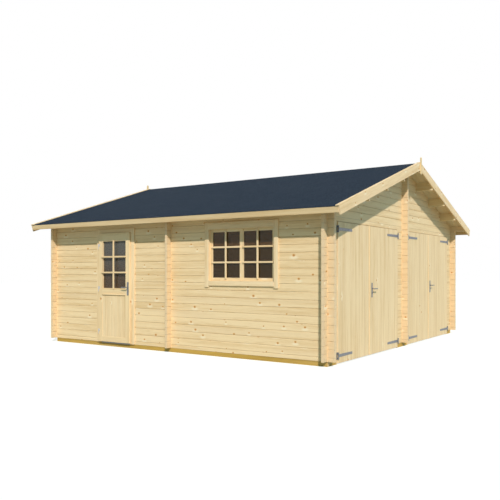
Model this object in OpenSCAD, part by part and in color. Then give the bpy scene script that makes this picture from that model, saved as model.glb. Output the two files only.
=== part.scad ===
// Double log garage cabin: notched log walls, low gable roof, two pairs of boarded garage doors,
// a glazed side door and a two-sash window. X runs along the ridge, the garage gable faces +X,
// the wall with the side door faces -Y, and the ground is Z = 0 under the middle of the plan.

/* [Plan] */
// Length over the wall faces, along the ridge
wall_length = 5750; // [5200:10:6800]
// Width over the wall faces, across the ridge
wall_width = 5750; // [5600:10:6600]

/* [Logs] */
// Thickness of a wall log
log_t = 44; // [36:1:60]
// Height of one log course
course_h = 113; // [110:1:130]
// Bevel along each log edge, seen as a groove between courses
log_bevel = 6; // [2:0.5:10]
// How far a log runs on past the wall that it crosses
log_end = 105; // [70:5:140]
// Whole courses in a side wall above its half log
side_courses = 19; // [19:1:22]
// Hairline between pieces that bear on each other
hairline = 0.4; // [0.2:0.1:0.8]

/* [Base beams] */
// Height of the base beams
base_h = 70; // [45:1:120]
// Width of the base beams
base_w = 45; // [40:1:60]
// How far the side beams stop short of the rear wall's face
base_short = 50; // [46:1:90]
// Face of the base beams behind the log face
base_set_back = 6; // [0:1:12]

/* [Roof] */
// Pitch of both roof slopes in degrees
roof_pitch = 17.68; // [12:0.01:26]
// Roof beyond the side walls, to the face of the fascia
eave_overhang = 290; // [200:5:450]
// Roof beyond the gables, to the face of the bargeboards
gable_overhang = 325; // [200:5:450]
// Thickness of the roof boards
roof_board_t = 18; // [15:1:28]
// Thickness of the roofing
roofing_t = 6; // [3:0.5:12]
// Roofing beyond the fascia
roofing_drip = 3; // [0:1:20]
// Height of a purlin
purlin_h = 140; // [90:5:190]
// Distance between purlins across the plan
purlin_gap = 713; // [600:1:800]
// Purlins on each slope beside the ridge
purlin_rows = 3; // [2:1:3]

/* [Roof edges] */
// Thickness of the fascia
fascia_t = 18; // [14:1:28]
// Height of the fascia
fascia_h = 82; // [70:1:130]
// Width of a bargeboard
barge_w = 124; // [100:1:170]
// Thickness of a bargeboard
barge_t = 20; // [15:1:30]
// Bargeboard beyond the fascia
barge_past = 5; // [4:1:20]
// Thickness of the cap strip on a bargeboard
cap_t = 13; // [10:1:25]
// Width of the cap strip
cap_w = 60; // [45:1:80]
// Cap strip beyond the fascia
cap_past = 15; // [4:1:30]
// Width of a finial
finial_w = 44; // [36:1:70]
// Thickness of a finial
finial_t = 20; // [14:1:28]
// Finial above the roof ridge
finial_rise = 97; // [60:1:140]
// Finial below the roof ridge
finial_drop = 212; // [190:1:280]

/* [Garage doors] */
// Width of one garage leaf
garage_leaf_w = 1152; // [1050:1:1180]
// Height of a garage leaf
garage_leaf_h = 2018; // [1900:1:2022]
// Thickness of a garage leaf
garage_leaf_t = 44; // [36:1:55]
// Thickness of the boards on the face of a leaf
garage_board_t = 20; // [16:1:26]
// Width of the frame behind the boards
garage_rail_w = 110; // [80:1:150]
// Height of a garage leaf above the ground
garage_leaf_lift = 16; // [10:1:30]
// Leaf face in front of the log face
garage_leaf_proud = 12; // [0:1:20]
// Gap where two leaves meet
meeting_gap = 8; // [8:1:14]
// Width of the cover strip beside the meeting line
cover_strip_w = 54; // [40:1:90]
// Thickness of the cover strip
cover_strip_t = 8; // [6:1:14]
// Width of the log pier between the two bays
pier_w = 451; // [400:1:480]
// Thickness of the posts that line a bay
post_w = 28; // [22:1:40]
// Post behind the inner log face
post_inside = 31; // [20:1:60]
// Gap between the leaf's top and the lintel log
head_gap = 8; // [6:1:14]

/* [Side door] */
// Place of the side door along the wall, at its centre
side_door_x = -1256; // [-1700:1:-700]
// Clear width of the side door's frame
side_open_w = 726; // [650:1:850]
// Clear height of the side door's frame above the base beams
side_open_h = 1907; // [1860:1:1930]
// How far the leaf's outer layer laps over the frame
side_lap = 15; // [10:1:25]
// Thickness of the leaf's outer layer
side_lip_t = 25; // [18:1:30]
// Thickness of the leaf's inner layer, inside the frame
side_slab_t = 25; // [20:1:30]
// Clearance around the inner layer
side_slab_clear = 7; // [6:1:10]
// Leaf above the base beams
side_slab_lift = 14; // [13:1:20]
// Width of the leaf's stiles
side_stile_w = 93; // [80:1:130]
// Height of the leaf's top rail
side_top_rail_h = 143; // [100:1:170]
// Height of the leaf's lock rail
side_lock_rail_h = 121; // [90:1:160]
// Height of the leaf's bottom rail
side_bottom_rail_h = 94; // [80:1:160]
// Height of the glass in the side door
side_glass_h = 821; // [600:1:900]
// Depth of the lower panel's recess
side_panel_recess = 8; // [4:1:14]
// Thickness of the side door's casing
side_casing_t = 20; // [15:1:28]
// Width of the side door's casing
side_casing_w = 95; // [70:1:110]
// Height of the side door's head casing
side_head_h = 83; // [74:1:110]
// Height of the threshold above the base beam
threshold_h = 7; // [5:1:8]
// Threshold in front of the base beam's face
threshold_out = 6; // [3:1:12]
// Threshold down over the base beam's face
threshold_drop = 12; // [6:1:25]

/* [Window] */
// Place of the window along the wall, at its centre
window_x = 1408; // [1150:1:1700]
// Clear width between the window's linings
window_w = 1200; // [900:1:1400]
// Clear height between the window's linings
window_h = 797; // [600:1:830]
// Clear opening's lowest edge above the base beams
window_low = 1106; // [1080:1:1140]
// Thickness of a sash
sash_t = 30; // [26:1:40]
// Sash face behind the log face
sash_depth = 28; // [12:1:34]
// Width of a sash's outer stile
sash_stile_w = 49; // [40:1:65]
// Width of a sash's meeting stile
sash_meeting_w = 37; // [28:1:50]
// Height of a sash's top rail
sash_top_w = 41; // [28:1:60]
// Height of a sash's bottom rail
sash_bottom_w = 49; // [30:1:70]
// Width of the window's side casings
window_casing_w = 75; // [60:1:100]
// Thickness of the window's side casings
window_casing_t = 20; // [14:1:28]
// Length of the side casings below the clear opening
window_casing_drop = 100; // [80:1:130]
// Height of the window's head casing
window_head_h = 108; // [78:1:130]
// Head casing beyond the side casings
window_head_ear = 4; // [0:1:20]
// Depth of the window's linings from the log face
window_lining_d = 70; // [66:1:100]
// Height of the sill board
sill_h = 75; // [60:1:80]
// Thickness of the head casing and the sill board
window_board_t = 24; // [20:1:36]

/* [Joinery] */
// Clearance around a moving leaf
leaf_clear = 5; // [5:1:8]
// Thickness of a lining in a wall opening
lining_t = 30; // [22:1:34]
// How far a door stop reaches behind the leaf
stop_w = 15; // [12:1:25]
// Thickness of the glass
glass_t = 4; // [3:0.5:8]

/* [Ironwork] */
// Radius of a strap hinge's pin
pin_r = 4.5; // [3.5:0.1:6]
// Wall of a hinge knuckle around its pin
knuckle_wall = 3.4; // [2.5:0.1:5]
// Running clearance between a pin and its knuckle
pin_clear = 0.08; // [0.04:0.01:0.1]
// Hinge axis in front of the leaf face
pin_out = 11; // [10:0.5:14]
// Height of a strap hinge's fixed plate
hinge_plate_h = 100; // [80:1:130]
// Width of a strap hinge's fixed plate
hinge_plate_w = 26; // [25:1:38]
// Thickness of the hinge irons
iron_t = 4; // [2:0.5:6]
// Length of a strap along the garage leaf
strap_len = 470; // [300:5:600]
// Height of a strap at its root
strap_h = 44; // [34:1:60]
// Height of a strap at its tip
strap_tip_h = 36; // [16:1:40]
// Height of the lower strap above the leaf's bottom edge
strap_low = 106; // [80:1:160]
// Depth of the upper strap below the leaf's top edge
strap_high = 105; // [80:1:160]
// Radius of a side door hinge's pin
butt_pin_r = 3.4; // [2.5:0.1:4]
// Side door hinge axis beside the leaf's edge
butt_beside = 8.5; // [8:0.5:12]
// Side door hinge axis behind the leaf's face
butt_behind = 5; // [2:0.5:8]
// Height of a side door hinge
butt_hinge_h = 90; // [70:1:120]
// Width of a side door hinge's flaps
butt_flap_w = 30; // [20:1:40]
// Lowest side door hinge above the leaf's bottom edge
butt_low = 176; // [120:1:300]
// Highest side door hinge below the leaf's top edge
butt_high = 232; // [120:1:300]
// Height of a handle's plate
handle_plate_h = 230; // [180:1:260]
// Width of a handle's plate
handle_plate_w = 40; // [30:1:48]
// Thickness of a handle's plate
handle_plate_t = 5; // [3:0.5:8]
// Height of the garage handles above the ground
garage_handle_z = 1026; // [900:1:1150]
// Height of the side door handle above the ground
side_handle_z = 1024; // [900:1:1150]
// Lever above the middle of its plate
lever_up = 23; // [0:1:50]
// Length of a lever
lever_len = 116; // [90:1:150]
// Radius of a lever
lever_r = 8; // [6:0.5:11]
// Lever axis in front of its plate
lever_out = 48; // [35:1:60]
// Garage handle from its leaf's closing edge
garage_backset = 42; // [26:1:60]
// Side door handle from its leaf's closing edge
side_backset = 37; // [26:1:60]

/* [Hidden] */
$fn = 48;

pine = "#ecd5a4";
pine_end = "#f0c690";
base_wood = "#c99a45";
slate = "#333c49";
iron = "#8b93a3";
pane = "#4a4038";

// Garage bays, set out from the middle of the gable: u runs from a bay's centre
leaf_u = meeting_gap / 2 + garage_leaf_w;
post_u = leaf_u + leaf_clear;
cut_u = post_u + post_w + hairline;
bay_y = pier_w / 2 + cut_u;
garage_top = garage_leaf_lift + garage_leaf_h;
garage_cut_top = garage_top + head_gap;

// Plan lines: the gable grows where wider leaves need it, to keep a crossing and its bearing beside them
corner_bearing = 3 * log_t;
half_l = wall_length / 2;
half_w = max(wall_width / 2, bay_y + cut_u + corner_bearing);
gable_x = half_l - log_t / 2;
side_y = half_w - log_t / 2;
inner_w = half_w - log_t;
inner_l = half_l - log_t;
over = 2 * log_t;

// Log courses: logs along X start with a half log, logs along Y with a whole one
function x_low(n) = base_h + max(0, (n - 0.5) * course_h);
function x_high(n) = base_h + (n + 0.5) * course_h;
function y_low(m) = base_h + m * course_h;
function y_high(m) = base_h + (m + 1) * course_h;

// Side walls rise where a taller door or window needs it, to keep a whole course over every head
tallest = max(side_open_h + lining_t, window_low + window_h + lining_t, garage_cut_top - base_h);
wall_courses = max(side_courses, ceil(tallest / course_h - 0.5) + 1);

// Roof lines over the distance y from the ridge
function under(y) = x_high(wall_courses) + (inner_w - abs(y)) * tan(roof_pitch);
function boards_top(y) = under(y) + roof_board_t / cos(roof_pitch);
function roofing_low(y) = boards_top(y) + hairline;
function roof_top(y) = roofing_low(y) + roofing_t / cos(roof_pitch);
function cap_low(y) = roof_top(y) + hairline;
fascia_y = half_w + eave_overhang;
barge_x = half_l + gable_overhang;
roof_x = barge_x - barge_t - hairline;
sky = roof_top(0) + finial_rise + course_h;

// Gable courses and purlins
gable_courses = ceil((under(0) - base_h) / course_h);
purlin_ys = [for (i = [-purlin_rows : purlin_rows]) i * purlin_gap];
function purlin_low(y) = under(abs(y) + log_t / 2) - purlin_h;

// Garage leaves and the course that their heads cut into
garage_face = half_l + garage_leaf_proud;
garage_back = garage_face - garage_leaf_t;
head_course = floor((garage_cut_top - base_h) / course_h);
garage_pin_u = leaf_u + leaf_clear / 2;
garage_pin_x = garage_face + pin_out;
post_face = half_l;

// Side door opening: its log opening ends at a log joint over the head
side_clear = side_open_w / 2;
side_head = base_h + side_open_h;
side_cut = side_clear + lining_t + hairline;
door_courses = ceil((side_open_h + lining_t) / course_h - 0.5) + 1;
side_cut_top = x_high(door_courses - 1);
side_casing_face = -half_w - hairline - side_casing_t;
side_half = side_clear + side_lap;
side_lip_back = side_casing_face - leaf_clear;
side_face = side_lip_back - side_lip_t;
side_back = side_lip_back + side_slab_t;
side_leaf_low = base_h + side_slab_lift;
side_leaf_top = side_head + side_lap;
side_pin_x = side_door_x - side_half - butt_beside;
side_pin_y = side_face + butt_behind;

// Window opening
window_half = window_w / 2;
window_base = base_h + window_low;
window_top = window_base + window_h;
window_cut = window_half + lining_t + hairline;
head_logs = ceil((window_low + window_h + lining_t) / course_h - 0.5);
window_cut_top = x_high(head_logs);
sill_course = floor((window_low - lining_t) / course_h - 0.5);
window_cut_low = x_high(sill_course);
sash_face = -(half_w - sash_depth);
sash_back = sash_face + sash_t;

knuckle_r = pin_r + knuckle_wall;
eye_r = pin_r + pin_clear;
butt_r = butt_pin_r + knuckle_wall;
butt_eye_r = butt_pin_r + pin_clear;

// A bar along X, drawn as an outline across it
module along_x(x0, x1) {
    translate([min(x0, x1), 0, 0]) rotate([90, 0, 90]) linear_extrude(abs(x1 - x0)) children();
}

// A bar along Y, drawn as an outline across it
module along_y(y0, y1) {
    translate([0, max(y0, y1), 0]) rotate([90, 0, 0]) linear_extrude(abs(y1 - y0)) children();
}

// A block between any two opposite corners
module block(a, b) {
    low = [for (i = [0 : 2]) min(a[i], b[i])];
    high = [for (i = [0 : 2]) max(a[i], b[i])];
    translate(low) cube(high - low);
}

// Outline across a log, with its long edges bevelled
module log_outline(z0, z1, centre, bevel_low = true, bevel_high = true) {
    low = z0 + hairline / 2;
    high = z1 - hairline / 2;
    half = log_t / 2;
    b0 = bevel_low ? log_bevel : 0;
    b1 = bevel_high ? log_bevel : 0;
    translate([centre, 0]) polygon([
        [-half, low + b0], [-half + b0, low], [half - b0, low], [half, low + b0],
        [half, high - b1], [half - b1, high], [-half + b1, high], [-half, high - b1]
    ]);
}

// Everything above the underside of the roof boards
module above_roof() {
    far = fascia_y + eave_overhang;
    along_x(-2 * barge_x, 2 * barge_x) polygon([
        [-far, under(far) - hairline], [0, under(0) - hairline], [far, under(far) - hairline],
        [far, sky], [-far, sky]
    ]);
}

// Cross-lap cuts in log n along X, where it meets a wall at place x
module x_notch(n, x, y, open_top = true) {
    keep_low = base_h + (n - 0.25) * course_h + hairline / 2;
    keep_high = base_h + (n + 0.25) * course_h - hairline / 2;
    reach = log_t / 2 + hairline;
    if (n > 0)
        block([x - reach, y - over, x_low(n) - over], [x + reach, y + over, keep_low]);
    if (open_top)
        block([x - reach, y - over, keep_high], [x + reach, y + over, x_high(n) + over]);
}

// Cross-lap cuts in log m along Y, where it meets a wall at place y
module y_notch(m, x, y) {
    keep_low = base_h + (m + 0.25) * course_h + hairline / 2;
    keep_high = base_h + (m + 0.75) * course_h - hairline / 2;
    reach = log_t / 2 + hairline;
    block([x - over, y - reach, y_low(m) - over], [x + over, y + reach, keep_low]);
    block([x - over, y - reach, keep_high], [x + over, y + reach, y_high(m) + over]);
}

// Log n of a side wall from x0 to x1, lapped over every wall that it crosses
module side_log(n, x0, x1, y) {
    top_log = n == wall_courses;
    difference() {
        along_x(x0, x1) log_outline(x_low(n), x_high(n), y, n > 0, !top_log);
        for (x = [-gable_x, 0, gable_x])
            if (x > x0 && x < x1)
                x_notch(n, x, y, !top_log);
        if (top_log)
            above_roof();
    }
}

// Slot where a purlin passes through a gable
module purlin_slot(x, y) {
    reach = log_t / 2 + hairline;
    block([x - over, y - reach, purlin_low(y) - hairline], [x + over, y + reach, sky]);
}

// Log m of a gable from y0 to y1, lapped at the side walls and the stiffener, cut to the roof
module gable_log(m, y0, y1, x, bevel_low = true, bevel_high = true) {
    difference() {
        along_y(y0, y1) log_outline(y_low(m), y_high(m), x, bevel_low, bevel_high);
        for (y = [-side_y, side_y])
            if (y > y0 && y < y1 && m < wall_courses)
                y_notch(m, x, y);
        if (y0 < 0 && y1 > 0)
            y_notch(m, x, 0);
        if (y_high(m) > under(half_w + log_end) - purlin_h) {
            for (y = purlin_ys)
                if (y_high(m) > purlin_low(y))
                    purlin_slot(x, y);
            above_roof();
        }
    }
}

// How far a gable log reaches to each side
function gable_reach(m) = m < wall_courses ? half_w + log_end : inner_w - hairline;

// The two garage bays cut through the front gable
module garage_cuts() {
    for (side = [-1, 1])
        block([half_l - over, side * bay_y - cut_u, -over],
              [half_l + over, side * bay_y + cut_u, garage_cut_top]);
}

// The window's opening cut through the door wall
module window_hole() {
    block([window_x - window_cut, -half_w - over, window_cut_low],
          [window_x + window_cut, -half_w + over, window_cut_top]);
}

module base_beams() {
    out_l = half_l - base_set_back;
    out_w = half_w - base_set_back;
    in_l = out_l - base_w;
    in_w = out_w - base_w;
    stub = bay_y + cut_u;
    color(base_wood) {
        for (side = [-1, 1]) {
            block([-half_l + base_short, side * out_w, 0], [out_l, side * in_w, base_h]);
            block([in_l, side * stub, 0], [out_l, side * (in_w - hairline), base_h]);
        }
        block([-out_l, -in_w + hairline, 0], [-in_l, in_w - hairline, base_h]);
        block([in_l, -pier_w / 2, 0], [out_l, pier_w / 2, base_h]);
    }
}

module door_wall_rear_logs() {
    color(pine)
        for (n = [0 : door_courses - 1])
            side_log(n, -half_l - log_end, side_door_x - side_cut, -side_y);
}

module door_wall_front_logs() {
    color(pine)
        for (n = [0 : door_courses - 1])
            difference() {
                side_log(n, side_door_x + side_cut, half_l + log_end, -side_y);
                if (x_high(n) > window_cut_low + hairline)
                    window_hole();
            }
}

module door_wall_top_logs() {
    color(pine)
        for (n = [door_courses : wall_courses])
            difference() {
                side_log(n, n == wall_courses ? -roof_x : -half_l - log_end,
                         n == wall_courses ? roof_x : half_l + log_end, -side_y);
                if (x_low(n) < window_cut_top - hairline)
                    window_hole();
            }
}

module far_wall_logs() {
    color(pine)
        for (n = [0 : wall_courses])
            side_log(n, n == wall_courses ? -roof_x : -half_l - log_end,
                     n == wall_courses ? roof_x : half_l + log_end, side_y);
}

module rear_gable_logs() {
    color(pine)
        for (m = [0 : gable_courses - 1])
            gable_log(m, -gable_reach(m), gable_reach(m), -gable_x);
}

module front_left_corner_logs() {
    color(pine)
        for (m = [0 : head_course - 1])
            gable_log(m, -half_w - log_end, -bay_y - cut_u, gable_x);
}

module front_right_corner_logs() {
    color(pine)
        for (m = [0 : head_course - 1])
            gable_log(m, bay_y + cut_u, half_w + log_end, gable_x);
}

module front_pier_logs() {
    color(pine)
        for (m = [0 : head_course - 1])
            gable_log(m, -pier_w / 2, pier_w / 2, gable_x);
}

// The lintel is two courses with no groove between them
module front_gable_top_logs() {
    color(pine)
        for (m = [head_course : gable_courses - 1])
            difference() {
                gable_log(m, -gable_reach(m), gable_reach(m), gable_x,
                          m != head_course + 1, m != head_course);
                if (m == head_course)
                    garage_cuts();
            }
}

// Short logs across the middle of a side wall
module side_stiffener(side) {
    out_y = side * (half_w + log_end);
    in_y = side * (inner_w - log_end);
    color(pine_end)
        for (m = [0 : wall_courses - 1])
            difference() {
                along_y(out_y, in_y) log_outline(y_low(m), y_high(m), 0);
                y_notch(m, 0, side * side_y);
            }
}

module door_wall_stiffener() side_stiffener(-1);
module far_wall_stiffener() side_stiffener(1);

// Short logs across the middle of a gable, up to the ridge purlin
module gable_stiffener(side) {
    out_x = side * (half_l + log_end);
    in_x = side * (inner_l - log_end);
    top = purlin_low(0);
    last = ceil((top - base_h) / course_h - 0.5);
    color(pine_end)
        for (n = [0 : last])
            difference() {
                along_x(out_x, in_x)
                    log_outline(x_low(n), min(x_high(n), top - hairline), 0, n > 0, n < last);
                x_notch(n, side * gable_x, 0);
            }
}

module front_stiffener() gable_stiffener(1);
module rear_stiffener() gable_stiffener(-1);

module purlins() {
    half = log_t / 2;
    color(pine)
        for (y = purlin_ys)
            along_x(-roof_x, roof_x) polygon(concat(
                [[y - half, purlin_low(y)], [y + half, purlin_low(y)]],
                [[y + half, under(y + half) - hairline]],
                y == 0 ? [[0, under(0) - hairline]] : [],
                [[y - half, under(y - half) - hairline]]));
}

// One sheet of a roof slope between two height lines, from the ridge to y_end
module slope_sheet(side, y_end, lows, highs, reach) {
    y0 = side * hairline / 2;
    along_x(-reach, reach)
        polygon([[y0, lows[0]], [side * y_end, lows[1]], [side * y_end, highs[1]], [y0, highs[0]]]);
}

module roof_boards(side) {
    y_end = fascia_y - fascia_t - hairline;
    color(pine)
        slope_sheet(side, y_end, [under(0), under(y_end)], [boards_top(0), boards_top(y_end)], roof_x);
}

module roofing(side) {
    y_end = fascia_y + roofing_drip;
    color(slate)
        slope_sheet(side, y_end, [roofing_low(0), roofing_low(y_end)],
                    [roof_top(0), roof_top(y_end)], roof_x);
}

module door_side_roof_boards() roof_boards(-1);
module far_side_roof_boards() roof_boards(1);
module door_side_roofing() roofing(-1);
module far_side_roofing() roofing(1);

module fascias() {
    y_in = fascia_y - fascia_t;
    low = boards_top(fascia_y) - hairline - fascia_h;
    color(pine)
        for (side = [-1, 1])
            along_x(-roof_x, roof_x) polygon([
                [side * y_in, low], [side * fascia_y, low],
                [side * fascia_y, boards_top(fascia_y) - hairline],
                [side * y_in, boards_top(y_in) - hairline]
            ]);
}

// Sloping board from the ridge to the eave, its lower end cut square to the slope
module barge_outline(side, z_ridge, width, past) {
    y_end = fascia_y + past;
    z_end = z_ridge - y_end * tan(roof_pitch);
    y0 = side * hairline / 2;
    polygon([
        [y0, z_ridge], [side * y_end, z_end],
        [side * (y_end - width * sin(roof_pitch)), z_end - width * cos(roof_pitch)],
        [y0, z_ridge - width / cos(roof_pitch)]
    ]);
}

// Bargeboards and their cap strips on one gable
module bargeboards(front) {
    cap_top = cap_low(0) + cap_t / cos(roof_pitch);
    in_x = front * (barge_x - barge_t);
    out_x = front * barge_x;
    cap_x = front * (barge_x - cap_w);
    color(pine)
        for (side = [-1, 1]) {
            along_x(in_x, out_x) barge_outline(side, roof_top(0), barge_w, barge_past);
            along_x(cap_x, out_x) barge_outline(side, cap_top, cap_t, cap_past);
        }
}

module front_bargeboards() bargeboards(1);
module rear_bargeboards() bargeboards(-1);

module finials() {
    half = finial_w / 2;
    top = roof_top(0) + finial_rise;
    low = roof_top(0) - finial_drop;
    inner = barge_x + hairline;
    color(pine)
        for (front = [-1, 1])
            along_x(front < 0 ? -inner - finial_t : inner, front < 0 ? -inner : inner + finial_t) polygon([
                [0, low], [half, low + half], [half, top - half],
                [0, top], [-half, top - half], [-half, low + half]
            ]);
}

// Lining beside the side door with its stop, for the left (-1) or right (1) edge
module side_lining(side) {
    face = side_door_x + side * side_clear;
    back = side_door_x + side * (side_clear + lining_t);
    stop = face - side * stop_w;
    block([face, -half_w, base_h + hairline], [back, -inner_w, side_head]);
    block([stop, side_back + leaf_clear, base_h + hairline], [back, -inner_w, side_head]);
}

// Linings, casings and head of the side door
module side_door_frame() {
    casing_y = -half_w - hairline;
    wide = side_clear + lining_t;
    casing_half = side_clear + side_casing_w;
    head_low = side_head + hairline;
    color(pine) {
        for (side = [-1, 1]) {
            near = side_door_x + side * side_clear;
            far = side_door_x + side * casing_half;
            side_lining(side);
            block([near, side_casing_face, base_h], [far, casing_y, side_head]);
        }
        block([side_door_x - wide, -half_w, head_low],
              [side_door_x + wide, -inner_w, side_cut_top - hairline]);
        block([side_door_x - casing_half, side_casing_face, head_low],
              [side_door_x + casing_half, casing_y, side_head + side_head_h]);
    }
}

// Metal threshold between the linings, turned down over the base beam's face
module side_door_threshold() {
    half = side_clear - stop_w - hairline;
    out_y = -half_w - threshold_out;
    color(iron) {
        block([side_door_x - half, out_y, base_h + hairline],
              [side_door_x + half, -inner_w, base_h + threshold_h]);
        block([side_door_x - half, out_y, base_h - threshold_drop],
              [side_door_x + half, -half_w - hairline, base_h + threshold_h]);
    }
}

glass_half = side_half - side_stile_w;
side_glass_top = side_leaf_top - side_top_rail_h;
side_glass_low = side_glass_top - side_glass_h;

// Leaf with an outer layer that laps over the frame and an inner layer inside it
module side_door_leaf() {
    panel_top = side_glass_low - side_lock_rail_h;
    panel_low = side_leaf_low + side_bottom_rail_h;
    slab_half = side_clear - side_slab_clear;
    color(pine)
        difference() {
            union() {
                block([side_door_x - side_half, side_face, side_leaf_low],
                      [side_door_x + side_half, side_lip_back, side_leaf_top]);
                block([side_door_x - slab_half, side_face, side_leaf_low],
                      [side_door_x + slab_half, side_back, side_head - side_slab_clear]);
            }
            block([side_door_x - glass_half, side_face - over, side_glass_low],
                  [side_door_x + glass_half, side_back + over, side_glass_top]);
            block([side_door_x - glass_half, side_face - over, panel_low],
                  [side_door_x + glass_half, side_face + side_panel_recess, panel_top]);
        }
}

module side_door_glass() {
    mid = (side_lip_back + side_back) / 2;
    color(pane, 0.6)
        block([side_door_x - glass_half + hairline, mid - glass_t / 2, side_glass_low + hairline],
              [side_door_x + glass_half - hairline, mid + glass_t / 2, side_glass_top - hairline]);
}

// Handle on a face in the XZ plane that looks to -Y: plate, spindle and lever, the lever to -X
module handle() {
    spindle_r = lever_r * 1.2;
    bar_y = -handle_plate_t - lever_out;
    block([-handle_plate_w / 2, -handle_plate_t, -handle_plate_h / 2],
          [handle_plate_w / 2, 0, handle_plate_h / 2]);
    translate([0, -handle_plate_t - hairline, lever_up]) rotate([90, 0, 0])
        cylinder(r = spindle_r, h = lever_out - lever_r - 2 * hairline);
    translate([spindle_r - lever_len, bar_y, lever_up]) rotate([0, 90, 0])
        cylinder(r = lever_r, h = lever_len);
}

module side_door_handle() {
    color(iron)
        translate([side_door_x + side_half - side_backset, side_face - hairline, side_handle_z]) handle();
}

function butt_zs() = [
    side_leaf_low + butt_low,
    (side_leaf_low + butt_low + side_leaf_top - butt_high) / 2,
    side_leaf_top - butt_high
];

// Fixed half of the side door's hinges: block on the casing, lower knuckle and pin
module side_door_hinge_pins() {
    foot_y = side_casing_face - hairline;
    half = butt_hinge_h / 2;
    color(iron)
        for (z = butt_zs())
            translate([side_pin_x, 0, z]) {
                block([-2 * butt_r, foot_y - iron_t, -half], [0, foot_y, half]);
                block([-butt_r, side_pin_y, -half], [0, foot_y, -hairline]);
                translate([0, side_pin_y, -half]) cylinder(r = butt_r, h = half - hairline);
                translate([0, side_pin_y, -half]) cylinder(r = butt_pin_r, h = 2 * half);
            }
}

// Moving half of the side door's hinges: flap on the leaf and upper knuckle
module side_door_hinge_flaps() {
    flap_y = side_face - hairline;
    half = butt_hinge_h / 2;
    color(iron)
        for (z = butt_zs())
            translate([side_pin_x, 0, z])
                difference() {
                    union() {
                        block([0, flap_y - iron_t, hairline], [butt_flap_w + butt_r, flap_y, half]);
                        block([0, flap_y - iron_t, hairline], [butt_r, side_pin_y, half]);
                        translate([0, side_pin_y, hairline]) cylinder(r = butt_r, h = half - hairline);
                    }
                    translate([0, side_pin_y, -half - over]) cylinder(r = butt_eye_r, h = 2 * (half + over));
                }
}

module window_frame() {
    casing_y = -half_w - hairline;
    left = window_x - window_half;
    right = window_x + window_half;
    lining_in = -half_w + window_lining_d;
    casing_low = window_base - window_casing_drop;
    ear = window_casing_w + window_head_ear;
    color(pine) {
        for (side = [-1, 1]) {
            near = window_x + side * window_half;
            back = window_x + side * (window_half + lining_t);
            far = window_x + side * (window_half + window_casing_w);
            block([near, -half_w, window_base], [back, lining_in, window_top]);
            block([near, casing_y - window_casing_t, casing_low], [far, casing_y, window_top]);
        }
        block([left - lining_t, -half_w, window_top + hairline],
              [right + lining_t, lining_in, window_cut_top - hairline]);
        block([left - lining_t, -half_w, window_cut_low + hairline],
              [right + lining_t, lining_in, window_base - hairline]);
        block([left - ear, casing_y - window_board_t, window_top + hairline],
              [right + ear, casing_y, window_top + window_head_h]);
        block([left + hairline, casing_y - window_board_t, window_base - sill_h],
              [right - hairline, casing_y, window_base]);
    }
}

// Glass opening of the left (-1) or right (1) sash as its two corners in X and Z
function sash_near(side) = window_x + side * sash_meeting_w;
function sash_far(side) = window_x + side * (window_half - sash_stile_w);

module window_sashes() {
    color(pine)
        for (side = [-1, 1]) {
            near = window_x + side * hairline / 2;
            far = window_x + side * (window_half - hairline);
            difference() {
                block([near, sash_face, window_base + hairline], [far, sash_back, window_top - hairline]);
                block([sash_near(side), sash_face - over, window_base + sash_bottom_w],
                      [sash_far(side), sash_back + over, window_top - sash_top_w]);
            }
        }
}

module window_glass() {
    mid = (sash_face + sash_back) / 2;
    low = window_base + sash_bottom_w + hairline;
    high = window_top - sash_top_w - hairline;
    color(pane, 0.6)
        for (side = [-1, 1])
            block([sash_near(side) + side * hairline, mid - glass_t / 2, low],
                  [sash_far(side) - side * hairline, mid + glass_t / 2, high]);
}

// Posts with their stops beside each bay, and a stop under the lintel
module garage_door_frames() {
    in_x = inner_l - post_inside;
    stop_x = garage_back - leaf_clear;
    head = garage_cut_top - hairline;
    color(pine)
        for (bay = [-1, 1]) {
            for (side = [-1, 1]) {
                face = bay * bay_y + side * post_u;
                back = bay * bay_y + side * (post_u + post_w);
                stop = bay * bay_y + side * (post_u - stop_w);
                block([in_x, face, 0], [post_face, back, head]);
                block([in_x, stop, 0], [stop_x, back, head]);
            }
            inner = post_u - stop_w - hairline;
            block([in_x, bay * bay_y - inner, garage_top - stop_w], [stop_x, bay * bay_y + inner, head]);
        }
}

strap_zs = [garage_leaf_lift + strap_low, garage_top - strap_high];

// Fixed plates of the strap hinges on the posts, with their knuckles and pins
module garage_hinge_plates() {
    half = hinge_plate_h / 2;
    eye = strap_h / 2 + 2 * hairline;
    plate_x = post_face + hairline;
    color(iron)
        for (bay = [-1, 1])
            for (side = [-1, 1])
                for (z = strap_zs)
                    translate([0, bay * bay_y, z]) {
                        pin_u = side * garage_pin_u;
                        near = side * (post_u + hairline);
                        far = side * (post_u + hairline + hinge_plate_w);
                        web = side * (garage_pin_u + knuckle_r);
                        block([plate_x, near, -half], [plate_x + iron_t, far, half]);
                        for (z0 = [-half, eye]) {
                            block([plate_x, near, z0], [garage_pin_x, web, z0 + half - eye]);
                            translate([garage_pin_x, pin_u, z0]) cylinder(r = knuckle_r, h = half - eye);
                        }
                        translate([garage_pin_x, pin_u, -half]) cylinder(r = pin_r, h = 2 * half);
                    }
}

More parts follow.
